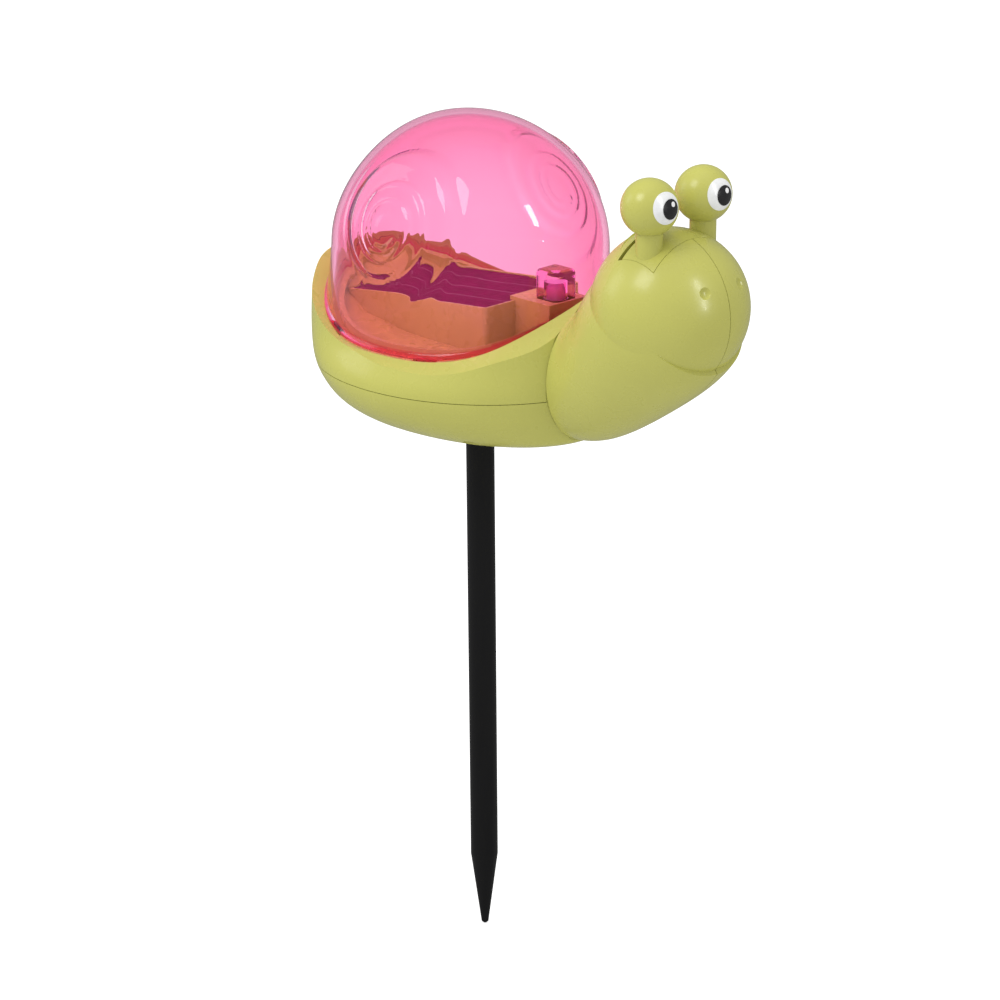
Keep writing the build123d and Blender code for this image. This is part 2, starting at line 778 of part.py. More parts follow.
with BuildPart() as ear_solid:
    with Locations((cell_x, cover_screw_y, -5)):
        Cylinder(cover_ear_r - cover_gap, cover_ear_top_z + 5 - 0.15,
                 align=(Align.CENTER, Align.CENTER, Align.MIN))
    add(hull_outer, mode=Mode.INTERSECT)

cover_screw_seat_z = cover_ear_top_z - 2.0
with BuildPart() as battery_cover:
    add(hull_outer)
    add(hull_inner, mode=Mode.SUBTRACT)
    add(cover_shape.part, mode=Mode.INTERSECT)
    add(ear_solid.part)
    with Locations((cell_x, cover_screw_y, -5)):
        Cylinder(screw_head_r + gap, cover_screw_seat_z + 5,
                 align=(Align.CENTER, Align.CENTER, Align.MIN), mode=Mode.SUBTRACT)
        Cylinder(screw_shank_r + gap, 30,
                 align=(Align.CENTER, Align.CENTER, Align.MIN), mode=Mode.SUBTRACT)
save(battery_cover.part, "battery_cover")

save(Pos(cell_x, cover_screw_y, cover_screw_seat_z) * screw(6.0), "cover_screw")

# ---- slide switch ---------------------------------------------------------------------------
switch_base_z = switch_floor_z + 1.5
knob_rest_y = -knob_travel
with BuildPart() as switch_case:
    with Locations((switch_x, 0, switch_base_z)):
        Box(5.0, 11.0, 5.2, align=(Align.CENTER, Align.CENTER, Align.MIN))
        Box(2.6, 7.0, 2.4, align=(Align.CENTER, Align.CENTER, Align.MIN), mode=Mode.SUBTRACT)
save(switch_case.part, "switch_case")

with BuildPart() as switch_knob:
    with Locations((switch_x, knob_rest_y, switch_floor_z - 0.3)):
        Box(5.4, 5.0, 2.0, align=(Align.CENTER, Align.CENTER, Align.MAX))
    chamfer(switch_knob.edges().group_by(Axis.Z)[0], 0.5)
    with Locations((switch_x, knob_rest_y, switch_floor_z - 0.6)):
        Box(2.0, 2.6, 3.6, align=(Align.CENTER, Align.CENTER, Align.MIN))
save(switch_knob.part, "switch_knob")

# ---- solar panel, seal, circuit board and lamp -------------------------------------------------
with BuildPart() as solar_panel:
    with BuildSketch(panel_plane.offset(-0.3)):
        Rectangle(panel_length, panel_width)
    extrude(amount=-(panel_thick - 0.3))
save(solar_panel.part, "solar_panel")

with BuildPart() as panel_seal:
    with BuildSketch(panel_plane.offset(-panel_thick)):
        Rectangle(panel_length - 0.2, panel_width - 0.2)
        Rectangle(panel_length - 6.0, panel_width - 6.0, mode=Mode.SUBTRACT)
    extrude(amount=-seal_thick)
save(panel_seal.part, "panel_seal")

board_z = 33.0
board_x = -8.0
board_length = 34.0
board_width = 24.0
board_thick = 1.6
with BuildPart() as circuit_board:
    with Locations((board_x, 0, board_z)):
        Box(board_length, board_width, board_thick, align=(Align.CENTER, Align.CENTER, Align.MIN))
    with Locations((board_x - 8, 4, board_z)):
        Box(4.0, 5.0, 1.5, align=(Align.CENTER, Align.CENTER, Align.MAX))
    with Locations((board_x + 8, -4, board_z)):
        Cylinder(3.0, 3.0, align=(Align.CENTER, Align.CENTER, Align.MAX))
save(circuit_board.part, "circuit_board")

led_base_z = lens_floor_z - wall - 1.5
led_top_z = lens_floor_z + 4.6
led_half_leg = 1.27
with BuildPart() as led:
    with Locations((lens_x, 0, led_base_z)):
        Cylinder(led_r + 0.4, 1.0, align=(Align.CENTER, Align.CENTER, Align.MIN))
        Cylinder(led_r, led_top_z - led_r - led_base_z, align=(Align.CENTER, Align.CENTER, Align.MIN))
    with Locations((lens_x, 0, led_top_z - led_r)):
        Sphere(led_r)
save(led.part, "led")

with BuildPart() as led_lens:
    with Locations((lens_x, 0, lens_floor_z)):
        Box(lens_side, lens_side, lens_side, align=(Align.CENTER, Align.CENTER, Align.MIN))
    fillet(led_lens.edges().filter_by(Axis.Z), 1.6)
    fillet(led_lens.faces().sort_by(Axis.Z)[-1].edges(), 1.4)
    with Locations((lens_x, 0, lens_floor_z)):
        Cylinder(led_r + 0.3, 4.9, align=(Align.CENTER, Align.CENTER, Align.MIN), mode=Mode.SUBTRACT)
save(led_lens.part, "led_lens")


# ---- leads ------------------------------------------------------------------------------------
lead_r = 0.6
lead_bend = 1.5


def lead(*route):
    """One insulated lead along straight runs with rounded corners."""
    with BuildPart() as wire:
        with BuildLine() as path:
            FilletPolyline(*route, radius=lead_bend)
        with BuildSketch(Plane(origin=path.line @ 0, z_dir=path.line % 0)):
            Circle(lead_r)
        sweep()
    return wire.part


with BuildPart() as led_leads:
    for side in (1, -1):
        y = side * led_half_leg
        add(lead((lens_x, y, led_base_z), (lens_x, y, board_z - 5.5), (board_x + 12, y, board_z - 5.5),
                 (board_x + 12, y, board_z)))
save(led_leads.part, "led_leads")

with BuildPart() as battery_leads:
    for side in (1, -1):
        x = cell_x + 3
        add(lead((x, side * 20, well_roof_z + 1.5), (x, side * 20, well_roof_z + 5),
                 (x, side * 8, well_roof_z + 5), (x, side * 8, board_z)))
save(battery_leads.part, "battery_leads")

board_nose_x = board_x + board_length / 2
panel_under_z = (
    panel_plane.origin.Z + (board_x - 4 - panel_plane.origin.X) * sin(panel_tilt) - panel_thick - 0.1
)
with BuildPart() as switch_leads:
    for side in (1, -1):
        y = side * 3.0
        add(lead((switch_x - 1, y, switch_base_z + 5.2), (switch_x - 1, y, board_z - 8),
                 (board_nose_x - 3, y, board_z - 8), (board_nose_x - 3, y, board_z)))
save(switch_leads.part, "switch_leads")

with BuildPart() as panel_leads:
    for side in (1, -1):
        y = side * 9.0
        add(lead((board_x + 6, y, board_z + board_thick), (board_x + 6, y, board_z + 3.7),
                 (board_x - 4, y, board_z + 3.7), (board_x - 4, y, panel_under_z)))
save(panel_leads.part, "panel_leads")
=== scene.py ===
"""Looks of the snail garden stake light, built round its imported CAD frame.

Metres, +Z up, +X towards the snail's nose, mirror plane Y = 0, origin at the stake's shoulder.
"""

import json
from math import atan2, cos, pi, radians, sin

import bpy
from mathutils import Matrix, Vector


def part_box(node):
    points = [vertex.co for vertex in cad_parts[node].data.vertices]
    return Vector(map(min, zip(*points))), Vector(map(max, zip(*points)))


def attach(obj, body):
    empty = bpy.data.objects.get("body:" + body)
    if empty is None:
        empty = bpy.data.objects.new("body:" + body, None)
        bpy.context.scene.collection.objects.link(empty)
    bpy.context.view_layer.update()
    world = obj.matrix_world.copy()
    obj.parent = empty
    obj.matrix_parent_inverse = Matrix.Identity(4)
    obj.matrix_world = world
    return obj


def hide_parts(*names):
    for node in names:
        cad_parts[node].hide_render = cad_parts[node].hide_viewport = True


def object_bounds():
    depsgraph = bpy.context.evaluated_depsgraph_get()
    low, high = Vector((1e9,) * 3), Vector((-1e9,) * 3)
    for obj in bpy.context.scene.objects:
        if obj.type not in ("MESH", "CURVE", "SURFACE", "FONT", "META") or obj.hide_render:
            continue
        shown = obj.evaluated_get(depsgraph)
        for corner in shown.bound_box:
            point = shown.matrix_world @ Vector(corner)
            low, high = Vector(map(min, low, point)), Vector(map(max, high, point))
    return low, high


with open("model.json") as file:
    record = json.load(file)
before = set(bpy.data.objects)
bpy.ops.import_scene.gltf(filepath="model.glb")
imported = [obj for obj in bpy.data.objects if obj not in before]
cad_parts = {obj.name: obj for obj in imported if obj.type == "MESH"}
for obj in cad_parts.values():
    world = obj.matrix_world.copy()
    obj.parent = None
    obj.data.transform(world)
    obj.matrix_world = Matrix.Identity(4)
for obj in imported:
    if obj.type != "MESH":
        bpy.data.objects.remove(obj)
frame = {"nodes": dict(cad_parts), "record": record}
cad_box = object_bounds()
nodes = frame["nodes"]

MM = 0.001

# ---- camera: 46 degrees from the snail's right side towards its nose, 20 degrees up ---------
camera_turn = radians(46)
camera_lift = radians(20)
camera_roll = radians(-0.44)
camera_target = Vector((4.00, 4.14, -23.99)) * MM
camera_distance = 847.2 * MM
camera_lens = 101.7

# ---- clear shell, as in the CAD -----------------------------------------------------------
shell_x = -4.2 * MM
rim_reach = 45.0 * MM
equator_reach = 42.7 * MM
shell_squash = 0.88
shell_wall = 1.8 * MM
equator_z = 54.4 * MM
top_z = 94.0 * MM
foot_z = 27.4 * MM
crown_shift = 1.5 * MM
seat_gap = 0.3 * MM
lip_out = 0.6 * MM
lip_height = 1.5 * MM
nose_swell = 1.6 * MM         # the dome stands this much fuller towards the nose at its equator
nose_swell_start = foot_z + 9 * MM
tail_trim = 2.0 * MM          # scale of the crown's trim towards the tail, 1.5 mm where it is largest
flare_power = 1.2             # how the side runs out from the equator down to the foot
foot_fullness = 0.058         # how much fuller than an ellipse the tail end is at the foot
ROUND = 0.5523                # Bezier handle that makes a quarter ellipse

# the rim is a saddle: low beside the shell's middle, higher at its tail and its nose
rim_low = 30.4 * MM
rim_tail_rise = 17.0 * MM
rim_tail_x = -49.5 * MM
rim_tail_power = 2.6
rim_nose_rise = 14.0 * MM
rim_nose_x = 42.0 * MM
rim_nose_power = 4
rim_probe_z = 36.0 * MM       # height at which the shell's outline is laid on the rim
lip_blend = 0.3 * MM          # half the height over which the lip runs into the wall
edge_round = 0.35 * MM        # rounding of the lip's lower edge

coil_x = -0.9 * MM
coil_z = 66.2 * MM
coil_reach = 25.5 * MM
coil_shrink = 0.64
coil_turns = 3.25
coil_start = -2.02
coil_rise = 1.25 * MM         # scale of the relief: 1.2 mm by the coil's mouth, less further in
coil_share_inside = 0.70      # share of the relief that the inner face has too
coil_fade = 0.7               # how fast the whorls get flatter as they get smaller
coil_mouth = 0.15             # turns over which the outermost whorl rises from the dome
crest_share = 0.30            # how far across a whorl its crest is, from its outer edge
crest_fall = 0.85             # share of its height that a whorl loses from crest to inner edge
groove_share = 0.25           # depth of the groove round the coil, as a share of the rise
groove_width = 3.2 * MM
groove_edge = 0.4 * MM
flank_start = 0.10            # sideways lean of the dome where the relief begins
flank_full = 0.40             # and where it has its full height

tab_turns = (12.7, 64.7, 113.3, -113.3, -64.7, -12.7)
tab_size = Vector((6.6, 1.4, 4.4)) * MM
tab_inset = 1.6 * MM          # from the shell's outer face to the tab's inner one

# ---- small printed and laminated details ----------------------------------------------------
glint_radius = 0.80 * MM
glint_aside = 0.8 * MM        # from the pupil's middle
glint_up = 1.35 * MM
finger_pitch = 2.4 * MM
finger_width = 0.10 * MM
cell_pitch = 9.15 * MM
cell_gap = 0.45 * MM

# ---- surroundings ---------------------------------------------------------------------------
last_bent_ray = 4.5           # after this many steps a ray goes straight through clear plastic
lamp_tint = (1.0, 0.60, 0.92)  # what one face of clear plastic leaves of the light it lets through
floor_half = 7.0
floor_drop = 0.2 * MM         # below the stake's point


# ---- node materials -------------------------------------------------------------------------
def new_material(name):
    """A material with a bare Principled shader, and its node tree."""
    made = bpy.data.materials.new(name)
    made.use_nodes = True
    return made, made.node_tree, made.node_tree.nodes["Principled BSDF"]


def local_place(tree):
    """The point's own place on its piece, in metres."""
    return tree.nodes.new("ShaderNodeTexCoord").outputs["Object"]


def noise(tree, place, scale, detail=3.0, stretch=(1, 1, 1)):
    """Smooth noise from 0 to 1; one feature is about 1 / scale metres."""
    mapping = tree.nodes.new("ShaderNodeMapping")
    mapping.inputs["Scale"].default_value = stretch
    tree.links.new(place, mapping.inputs["Vector"])
    texture = tree.nodes.new("ShaderNodeTexNoise")
    texture.inputs["Scale"].default_value = scale
    texture.inputs["Detail"].default_value = detail
    tree.links.new(mapping.outputs["Vector"], texture.inputs["Vector"])
    return texture.outputs["Fac"]


def spread(tree, value, low, high, from_low=0.3, from_high=0.7):
    """A value remapped from its own range to run from low to high; the usual range is a noise's."""
    node = tree.nodes.new("ShaderNodeMapRange")
    node.inputs["From Min"].default_value = from_low
    node.inputs["From Max"].default_value = from_high
    node.inputs["To Min"].default_value = low
    node.inputs["To Max"].default_value = high
    tree.links.new(value, node.inputs["Value"])
    return node.outputs["Result"]


def mix_colour(tree, share, first, second):
    """First colour where share is 0, second where it is 1; either may be a socket."""
    node = tree.nodes.new("ShaderNodeMix")
    node.data_type = "RGBA"
    tree.links.new(share, node.inputs["Factor"])
    for colour, name in ((first, "A"), (second, "B")):
        socket = [s for s in node.inputs if s.name == name and s.type == "RGBA"][0]
        if isinstance(colour, tuple):
            socket.default_value = (*colour, 1)
        else:
            tree.links.new(colour, socket)
    return [s for s in node.outputs if s.type == "RGBA"][0]


def calculate(tree, operation, first, second=0.0):
    """One step of arithmetic on sockets or numbers."""
    node = tree.nodes.new("ShaderNodeMath")
    node.operation = operation
    for value, socket in zip((first, second), node.inputs):
        if isinstance(value, (int, float)):
            socket.default_value = value
        else:
            tree.links.new(value, socket)
    return node.outputs["Value"]


def add_grain(tree, shader, place, scale, depth, strength=1.0, stretch=(1, 1, 1)):
    """Fine moulded grain as a bump."""
    bump = tree.nodes.new("ShaderNodeBump")
    bump.inputs["Distance"].default_value = depth
    bump.inputs["Strength"].default_value = strength
    tree.links.new(noise(tree, place, scale, 2.0, stretch), bump.inputs["Height"])
    tree.links.new(bump.outputs["Normal"], shader.inputs["Normal"])


def moulded(name, colour, shade, rough, grain=(1500, 0.00002), patch=45, stretch=(1, 1, 1), coat=0.0,
            shine=0.5):
    """Moulded plastic or a like surface: mottled colour, uneven gloss and a fine grain.

    The mottling runs from colour to shade. Rough is the range of roughness, grain the scale and depth
    of the bump, and patch the scale of the mottling.
    """
    made, tree, shader = new_material(name)
    place = local_place(tree)
    mottle = spread(tree, noise(tree, place, patch, 4.0, stretch), 0, 1)
    tree.links.new(mix_colour(tree, mottle, colour, shade), shader.inputs["Base Color"])
    tree.links.new(spread(tree, noise(tree, place, 4 * patch, 4.0, stretch), *rough),
                   shader.inputs["Roughness"])
    shader.inputs["Coat Weight"].default_value = coat
    shader.inputs["Specular IOR Level"].default_value = shine
    shader.inputs["Coat Roughness"].default_value = 0.12
    add_grain(tree, shader, place, *grain, stretch=stretch)
    return made


def clear_pink(name, face, edge):
    """Clear tinted plastic: the tint is deeper where the wall is seen edge on."""
    made, tree, shader = new_material(name)
    place = local_place(tree)
    facing = tree.nodes.new("ShaderNodeLayerWeight")
    facing.inputs["Blend"].default_value = 0.30
    tree.links.new(mix_colour(tree, facing.outputs["Facing"], face, edge), shader.inputs["Base Color"])
    tree.links.new(spread(tree, noise(tree, place, 90), 0.015, 0.05), shader.inputs["Roughness"])
    shader.inputs["Transmission Weight"].default_value = 1.0
    shader.inputs["IOR"].default_value = 1.2
    # the glossy skin is met from outside the wall only
    backfacing = tree.nodes.new("ShaderNodeNewGeometry").outputs["Backfacing"]
    tree.links.new(spread(tree, backfacing, 0.55, 0.0, 0.0, 1.0), shader.inputs["Coat Weight"])
    shader.inputs["Coat Roughness"].default_value = 0.03
    add_grain(tree, shader, place, 60, 0.00005, 0.4)
    # lamps shine straight through and take a tint, and no ray stays trapped inside the wall
    let_through = tree.nodes.new("ShaderNodeBsdfTransparent")
    let_through.inputs["Color"].default_value = (*lamp_tint, 1)
    rays = tree.nodes.new("ShaderNodeLightPath")
    trapped = calculate(tree, "GREATER_THAN", rays.outputs["Ray Depth"], last_bent_ray)
    choose = tree.nodes.new("ShaderNodeMixShader")
    tree.links.new(calculate(tree, "MAXIMUM", rays.outputs["Is Shadow Ray"], trapped), choose.inputs[0])
    tree.links.new(shader.outputs["BSDF"], choose.inputs[1])
    tree.links.new(let_through.outputs["BSDF"], choose.inputs[2])
    tree.links.new(choose.outputs["Shader"], tree.nodes["Material Output"].inputs["Surface"])
    return made


def printed(name, ink, glint=None):
    """Pad-printed ink with faint unevenness; glint is the centre of a small white dot."""
    made, tree, shader = new_material(name)
    place = local_place(tree)
    mottle = spread(tree, noise(tree, place, 400), 0, 1)
    colour = mix_colour(tree, mottle, ink, tuple(0.9 * part + 0.004 for part in ink))
    if glint is not None:
        apart = tree.nodes.new("ShaderNodeVectorMath")
        apart.operation = "DISTANCE"
        tree.links.new(place, apart.inputs[0])
        apart.inputs[1].default_value = glint
        dot = calculate(tree, "LESS_THAN", apart.outputs["Value"], glint_radius)
        colour = mix_colour(tree, dot, colour, (0.95, 0.95, 0.95))
    tree.links.new(colour, shader.inputs["Base Color"])
    tree.links.new(spread(tree, noise(tree, place, 900), 0.2, 0.32), shader.inputs["Roughness"])
    add_grain(tree, shader, place, 3000, 0.00001)
    return made


def stripes(tree, along, pitch, width):
    """1 on thin lines a pitch apart, 0 between them."""
    place = calculate(tree, "FRACT", calculate(tree, "MULTIPLY", along, 1 / pitch))
    return calculate(tree, "LESS_THAN", place, width / pitch)


def solar_cells(name):
    """Magenta cells in rows, with paler gaps between them and thin, faint fingers across them."""
    made, tree, shader = new_material(name)
    place = local_place(tree)
    split = tree.nodes.new("ShaderNodeSeparateXYZ")
    tree.links.new(place, split.inputs["Vector"])
    grain = spread(tree, noise(tree, place, 350, 6.0), 0, 1)
    silicon = mix_colour(tree, grain, (0.145, 0.009, 0.060), (0.205, 0.016, 0.088))
    fingers = stripes(tree, split.outputs["X"], finger_pitch, finger_width)
    lined = mix_colour(tree, fingers, silicon, (0.22, 0.05, 0.12))
    gaps = stripes(tree, split.outputs["Y"], cell_pitch, cell_gap)
    tree.links.new(mix_colour(tree, gaps, lined, (0.30, 0.14, 0.20)), shader.inputs["Base Color"])
    tree.links.new(spread(tree, noise(tree, place, 200), 0.16, 0.30), shader.inputs["Roughness"])
    shader.inputs["Specular IOR Level"].default_value = 0.0
    add_grain(tree, shader, place, 500, 0.00002)
    return made


def metal(name, colour):
    """Plated steel with fine turned marks."""
    made = moulded(name, colour, tuple(0.8 * part for part in colour), (0.22, 0.4), (4000, 0.00001), 300)
    made.node_tree.nodes["Principled BSDF"].inputs["Metallic"].default_value = 1.0
    return made


green = moulded("green_plastic", (0.53, 0.523, 0.124), (0.505, 0.497, 0.112), (0.25, 0.31), coat=0.10,
                shine=0.42)
pink = clear_pink("clear_pink_plastic", (0.945, 0.57, 0.74), (0.96, 0.10, 0.36))
rim_pink = clear_pink("clear_rim_plastic", (1.0, 0.20, 0.46), (1.0, 0.05, 0.28))
lens_pink = clear_pink("clear_lens_plastic", (1.0, 0.74, 0.80), (1.0, 0.32, 0.50))
black = moulded("black_plastic", (0.007, 0.007, 0.0074), (0.011, 0.011, 0.0115), (0.34, 0.5),
                (900, 0.00004), 60, (1, 1, 0.12), shine=0.12)
switch_black = moulded("switch_plastic", (0.02, 0.02, 0.021), (0.03, 0.03, 0.03), (0.4, 0.55))
rubber = moulded("foam_rubber", (0.03, 0.03, 0.032), (0.05, 0.05, 0.05), (0.75, 0.95), (2500, 0.0001))
board_green = moulded("solder_resist", (0.02, 0.16, 0.06), (0.015, 0.12, 0.05), (0.3, 0.45))
cell_wrap = moulded("cell_sleeve", (0.06, 0.25, 0.12), (0.05, 0.21, 0.10), (0.2, 0.32))
lead_red = moulded("lead_insulation", (0.42, 0.02, 0.02), (0.34, 0.015, 0.015), (0.4, 0.55))
lamp_clear = moulded("lamp_epoxy", (0.90, 0.89, 0.84), (0.84, 0.83, 0.78), (0.08, 0.16))
lamp_clear.node_tree.nodes["Principled BSDF"].inputs["Transmission Weight"].default_value = 0.6
steel = metal("plated_steel", (0.62, 0.61, 0.59))
white_ink = printed("white_print", (0.90, 0.91, 0.91))

finish_of_slot = {
    "green": green,
    "stake": black,
    "white_ink": white_ink,
    "steel": steel,
    "cell_jacket": cell_wrap,
    "dark_plastic": switch_black,
    "panel": solar_cells("solar_cells"),
    "seal": rubber,
    "board": board_green,
    "lamp": lamp_clear,
    "clear_pink": lens_pink,
    "lead": lead_red,
}


def dress(name, finish):
    """Gives one CAD node its only material."""
    piece = nodes[name]
    piece.data.materials.clear()
    piece.data.materials.append(finish)


for subpart in frame["record"]["subparts"]:
    name = subpart["node"]
    if name.startswith("pupil"):
        low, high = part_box(name)
        middle = (low + high) / 2
        glint = (high.x, middle.y + glint_aside, middle.z + glint_up)
        dress(name, printed(f"black_print_{name}", (0.012, 0.012, 0.014), glint))
    else:
        dress(name, finish_of_slot[subpart["material_slot"]])


# ---- the shell's surface --------------------------------------------------------------------
def ease(value, start, end):
    """0 before start, 1 after end, smooth between."""
    t = min(max((value - start) / (end - start), 0.0), 1.0)
    return t * t * (3 - 2 * t)


def rim_height(x):
    """Height of the saddle-shaped rim at a station x."""
    if x < 0:
        return rim_low + rim_tail_rise * (x / rim_tail_x) ** rim_tail_power
    return rim_low + rim_nose_rise * (x / rim_nose_x) ** rim_nose_power


def quarter(t, first, second, fullness):
    """A Bezier quarter of the plan outline, from (first, 0) at t = 0 to (0, second) at t = 1."""
    x = first * ((1 - t) ** 3 + 3 * (1 - t) ** 2 * t + 3 * (1 - t) * t**2 * fullness)
    y = second * (3 * (1 - t) ** 2 * t * fullness + 3 * (1 - t) * t**2 + t**3)
    return x, y


def plan_point(turn, nose, tail, width, fullness):
    """Point of the shell's plan outline at a turn from 0 to 1; the tail may be fuller."""
    part = (turn % 1.0) * 4
    side = int(part)
    t = part - side
    if side == 0:
        return quarter(t, nose, width, ROUND)
    if side == 1:
        x, y = quarter(1 - t, tail, width, fullness)
        return -x, y
    if side == 2:
        x, y = quarter(t, tail, width, fullness)
        return -x, -y
    x, y = quarter(1 - t, nose, width, ROUND)
    return x, -y


def side_point(turn, height, inset):
    """Point of the shell's side below its equator."""
    drop = (equator_z - height) / (equator_z - foot_z)
    reach = equator_reach + (rim_reach - equator_reach) * max(drop, 0) ** flare_power
    fullness = ROUND + foot_fullness * max(drop, 0)
    nose = reach - inset + nose_swell * ease(height, nose_swell_start, equator_z)
    x, y = plan_point(turn, nose, reach - inset, reach * shell_squash - inset, fullness)
    return Vector((x + shell_x, y, height))


def crown_point(turn, lift, inset):
    """Point of the shell's crown; lift runs from 0 at the equator to a quarter turn."""
    reach = (equator_reach - inset) * cos(lift)
    rise = sin(lift)
    # an inset takes its full amount off the width at the equator, and the squashed amount higher up
    width = reach * shell_squash - (1 - shell_squash) * inset * (1 - rise) ** 3
    nose = reach + nose_swell * cos(lift) ** 2
    tail = reach - tail_trim * sin(2 * lift) ** 2 * cos(lift)
    x, y = plan_point(turn, nose, tail, width, ROUND)
    height = equator_z + (top_z - equator_z - inset) * rise
    shift = crown_shift * (height - equator_z) / (top_z - equator_z)
    return Vector((x + shell_x + shift, y, height))


def rim_point_height(turn, inset):
    """Height of the shell's lower edge at a turn."""
    return rim_height(side_point(turn, rim_probe_z, inset).x) + seat_gap


def whorl_relief(x, z):
    """Height of the coiled whorls over the plain dome, at a point seen from the side."""
    reach = ((x - coil_x) ** 2 + (z - coil_z) ** 2) ** 0.5
    turn = ((atan2(z - coil_z, x - coil_x) - coil_start) / (2 * pi)) % 1.0
    edge = coil_reach * coil_shrink**turn
    if reach > edge:
        # a shallow groove runs round the outermost whorl
        groove = ease(turn, 0.0, coil_mouth) * (1 - ease(reach - edge, groove_edge, groove_width))
        return -groove_share * coil_rise * groove * ease(reach - edge, -groove_edge, groove_edge)
    while reach < edge * coil_shrink and turn < coil_turns:
        turn += 1
        edge *= coil_shrink
    if turn > coil_turns:
        return 0.0
    share = (edge - reach) / (edge * (1 - coil_shrink))
    swell = ease(share, 0.0, crest_share) * (1 - crest_fall * ease(share, crest_share, 1.0))
    return coil_rise * coil_shrink ** (coil_fade * turn) * swell * ease(turn, 0.0, coil_mouth)


shell_columns = 384
side_rows = 34
crown_rows = 90
row_crowding = 1.25           # the side's rows stand closer together near the rim


def dome_normal(point):
    """Direction straight out of the plain dome at a point."""
    return Vector(((point.x - shell_x) / equator_reach**2,
                   point.y / (equator_reach * shell_squash) ** 2,
                   max(point.z - equator_z, 0) / (top_z - equator_z) ** 2)).normalized()


def lip_flare(rise):
    """How far the lip stands out of the wall at a rise above the shell's lower edge."""
    flare = lip_out * (1 - ease(rise, lip_height - lip_blend, lip_height + lip_blend))
    return flare - edge_round * (1 - ease(rise, 0, edge_round))


def shell_skin(inset, relief, lip):
    """Rows of points from the rim up to the crown, and the crown's one top point."""
    rows = []
    for row in range(side_rows):
        share = (row / side_rows) ** row_crowding
        points = []
        for column in range(shell_columns):
            turn = column / shell_columns
            low = rim_point_height(turn, inset)
            height = low + (equator_z - low) * share
            point = side_point(turn, height, inset)
            if lip:
                outwards = Vector((point.x - shell_x, point.y, 0)).normalized()
                point += lip_flare(height - low) * outwards
            points.append(point)
        rows.append(points)
    for row in range(crown_rows):
        lift = pi / 2 * row / crown_rows
        rows.append([crown_point(column / shell_columns, lift, inset) for column in range(shell_columns)])
    for points in rows:
        for point in points:
            away = dome_normal(point)
            bulge = relief * whorl_relief(point.x, point.z)
            point += bulge * ease(abs(away.y), flank_start, flank_full) * away
    return rows, Vector((shell_x + crown_shift, 0, top_z - inset))


def add_ring_faces(faces, lower, upper, flip):
    """Quads between two rows of vertices."""
    count = len(lower)
    for i in range(count):
        j = (i + 1) % count
        face = (lower[i], lower[j], upper[j], upper[i])
        faces.append(face[::-1] if flip else face)


def tab_points(turn):
    """Corner points of one snap tab under the shell's edge, at a turn in degrees."""
    middle = turn / 360
    rim_length = pi * rim_reach * (1 + shell_squash)
    half = tab_size.x / 2 / rim_length
    points = []
    for height in (0.0, -tab_size.z):
        for inset in (tab_inset - tab_size.y, tab_inset):
            for step in (-1, 1):
                spot = side_point(middle + step * half, rim_probe_z, inset)
                points.append(Vector((spot.x, spot.y, rim_height(spot.x) + seat_gap + height)))
    return points


box_faces = ((0, 1, 3, 2), (4, 6, 7, 5), (0, 4, 5, 1), (2, 3, 7, 6), (0, 2, 6, 4), (1, 5, 7, 3))
sharp_turn = radians(50)      # edges that turn more than this are shaded sharp


def build_shell():
    """The shell as one closed thin wall with its lip, its whorls and its tabs."""
    vertices = []
    faces = []
    rims = []
    for inset, relief, lip, flip in ((0, 1.0, True, False), (shell_wall, coil_share_inside, False, True)):
        rows, top = shell_skin(inset, relief, lip)
        numbered = []
        for points in rows:
            numbered.append(range(len(vertices), len(vertices) + len(points)))
            vertices.extend(points)
        for lower, upper in zip(numbered, numbered[1:]):
            add_ring_faces(faces, lower, upper, flip)
        vertices.append(top)
        last = numbered[-1]
        for i in range(shell_columns):
            face = (last[i], last[(i + 1) % shell_columns], len(vertices) - 1)
            faces.append(face[::-1] if flip else face)
        rims.append(numbered[0])
    add_ring_faces(faces, rims[1], rims[0], False)
    for turn in tab_turns:
        start = len(vertices)
        vertices.extend(tab_points(turn))
        for face in box_faces:
            faces.append(tuple(start + i for i in face))
    mesh = bpy.data.meshes.new("shell_dome")
    mesh.from_pydata(vertices, [], faces)
    mesh.update()
    made = bpy.data.objects.new("shell_dome", mesh)
    bpy.context.scene.collection.objects.link(made)
    mesh.shade_smooth()
    mesh.set_sharp_from_angle(angle=sharp_turn)
    mesh.materials.append(pink)
    mesh.materials.append(rim_pink)
    for face in mesh.polygons:
        middle = face.center
        if middle.z < rim_height(middle.x) + seat_gap + lip_height:
            face.material_index = 1
    return made


shell = build_shell()
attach(shell, "clear_shell")
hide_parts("shell")


# ---- floor, lights and camera ---------------------------------------------------------------
def mirror_test(tree, rays):
    """1 for a ray that a glossy surface reflected; refracted rays count as glossy and are taken off."""
    only = calculate(tree, "SUBTRACT", rays.outputs["Is Glossy Ray"], rays.outputs["Is Transmission Ray"])
    return calculate(tree, "MAXIMUM", only, 0.0)


def strength_by_ray(tree, seen, lit, mirrored):
    """A strength with one value for what is seen, straight or through clear plastic, one for what
    lights other things and one for what shows in reflections.
    """
    rays = tree.nodes.new("ShaderNodeLightPath")
    looks = calculate(tree, "MAXIMUM", rays.outputs["Is Camera Ray"], rays.outputs["Is Transmission Ray"])
    return calculate(tree, "MAXIMUM", calculate(tree, "MULTIPLY", looks, seen),
                     spread(tree, mirror_test(tree, rays), lit, mirrored, 0.0, 1.0))


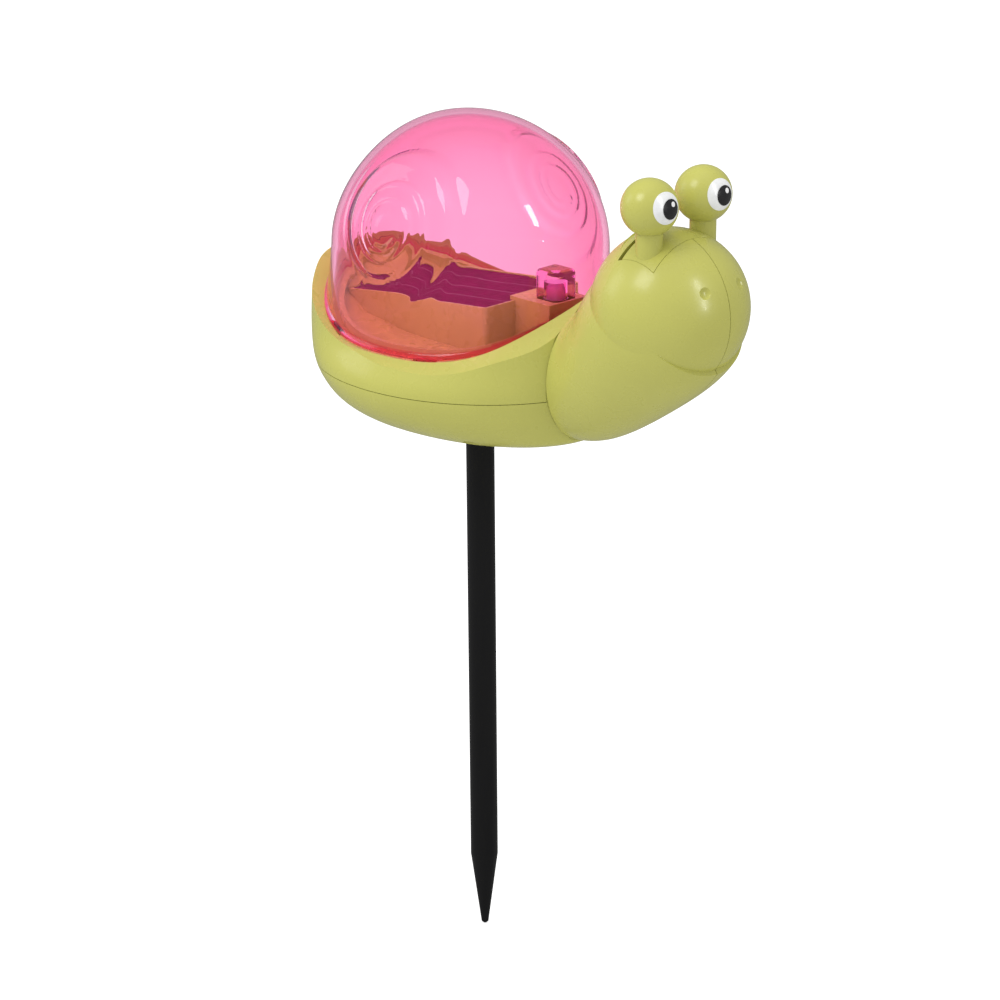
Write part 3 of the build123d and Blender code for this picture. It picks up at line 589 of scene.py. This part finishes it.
def build_floor():
    """A plain pale floor under the stake's point."""
    level = cad_box[0][2] - floor_drop
    corners = [(x * floor_half, y * floor_half, level) for x, y in ((-1, -1), (1, -1), (1, 1), (-1, 1))]
    mesh = bpy.data.meshes.new("floor")
    mesh.from_pydata(corners, [], [(0, 1, 2, 3)])
    made = bpy.data.objects.new("floor", mesh)
    bpy.context.scene.collection.objects.link(made)
    finish, tree, shader = new_material("pale_floor")
    mottled = mix_colour(tree, noise(tree, local_place(tree), 3.0), (0.50, 0.50, 0.50), (0.53, 0.53, 0.53))
    mirrored = mirror_test(tree, tree.nodes.new("ShaderNodeLightPath"))
    tree.links.new(mix_colour(tree, mirrored, mottled, (0.22, 0.22, 0.22)), shader.inputs["Base Color"])
    shader.inputs["Roughness"].default_value = 0.9
    shader.inputs["Specular IOR Level"].default_value = 0.0
    shader.inputs["Emission Color"].default_value = (1, 1, 1, 1)
    glow = strength_by_ray(tree, seen=0.75, lit=0.28, mirrored=0.08)
    tree.links.new(glow, shader.inputs["Emission Strength"])
    mesh.materials.append(finish)


def add_softbox(name, place, aim, width, height, power):
    """A rectangular soft light at place that faces aim."""
    data = bpy.data.lights.new(name, "AREA")
    data.shape = "RECTANGLE"
    data.size = width
    data.size_y = height
    data.energy = power
    made = bpy.data.objects.new(name, data)
    made.location = place
    made.rotation_euler = (Vector(aim) - Vector(place)).to_track_quat("-Z", "Y").to_euler()
    bpy.context.scene.collection.objects.link(made)
    return made


def build_world():
    """White surroundings, dimmer for what they light and for what mirrors them."""
    world = bpy.data.worlds.new("studio")
    bpy.context.scene.world = world
    world.use_nodes = True
    backdrop = world.node_tree.nodes["Background"]
    backdrop.inputs["Color"].default_value = (1, 1, 1, 1)
    strength = strength_by_ray(world.node_tree, seen=1.0, lit=0.86, mirrored=0.30)
    world.node_tree.links.new(strength, backdrop.inputs["Strength"])


def build_camera():
    """The long-lens camera that sees the snail's right flank and nose from above."""
    right = Vector((cos(camera_turn), sin(camera_turn), 0))
    back = Vector((sin(camera_turn) * cos(camera_lift), -cos(camera_turn) * cos(camera_lift),
                   sin(camera_lift)))
    up = back.cross(right)
    rolled_right = right * cos(camera_roll) + up * sin(camera_roll)
    rolled_up = up * cos(camera_roll) - right * sin(camera_roll)
    place = camera_target + back * camera_distance
    data = bpy.data.cameras.new("camera")
    data.lens = camera_lens
    data.sensor_width = 36
    made = bpy.data.objects.new("camera", data)
    turned = Matrix((rolled_right, rolled_up, back)).transposed().to_4x4()
    made.matrix_world = Matrix.Translation(place) @ turned
    bpy.context.scene.collection.objects.link(made)
    bpy.context.scene.camera = made


build_floor()
build_world()
build_camera()
aim = (0.0, 0.0, 0.04)
add_softbox("key_light", (-0.10, -0.75, 0.85), aim, 0.45, 0.45, 3.5)
add_softbox("streak_light", (0.95, 0.05, 0.50), aim, 0.09, 0.75, 4.2).visible_diffuse = False
add_softbox("left_light", (-0.80, -0.55, 0.45), aim, 0.40, 0.50, 0.9)
add_softbox("top_light", (0.05, -0.05, 0.95), aim, 0.70, 0.70, 1.8).visible_glossy = False
bpy.context.scene.view_settings.view_transform = "Standard"
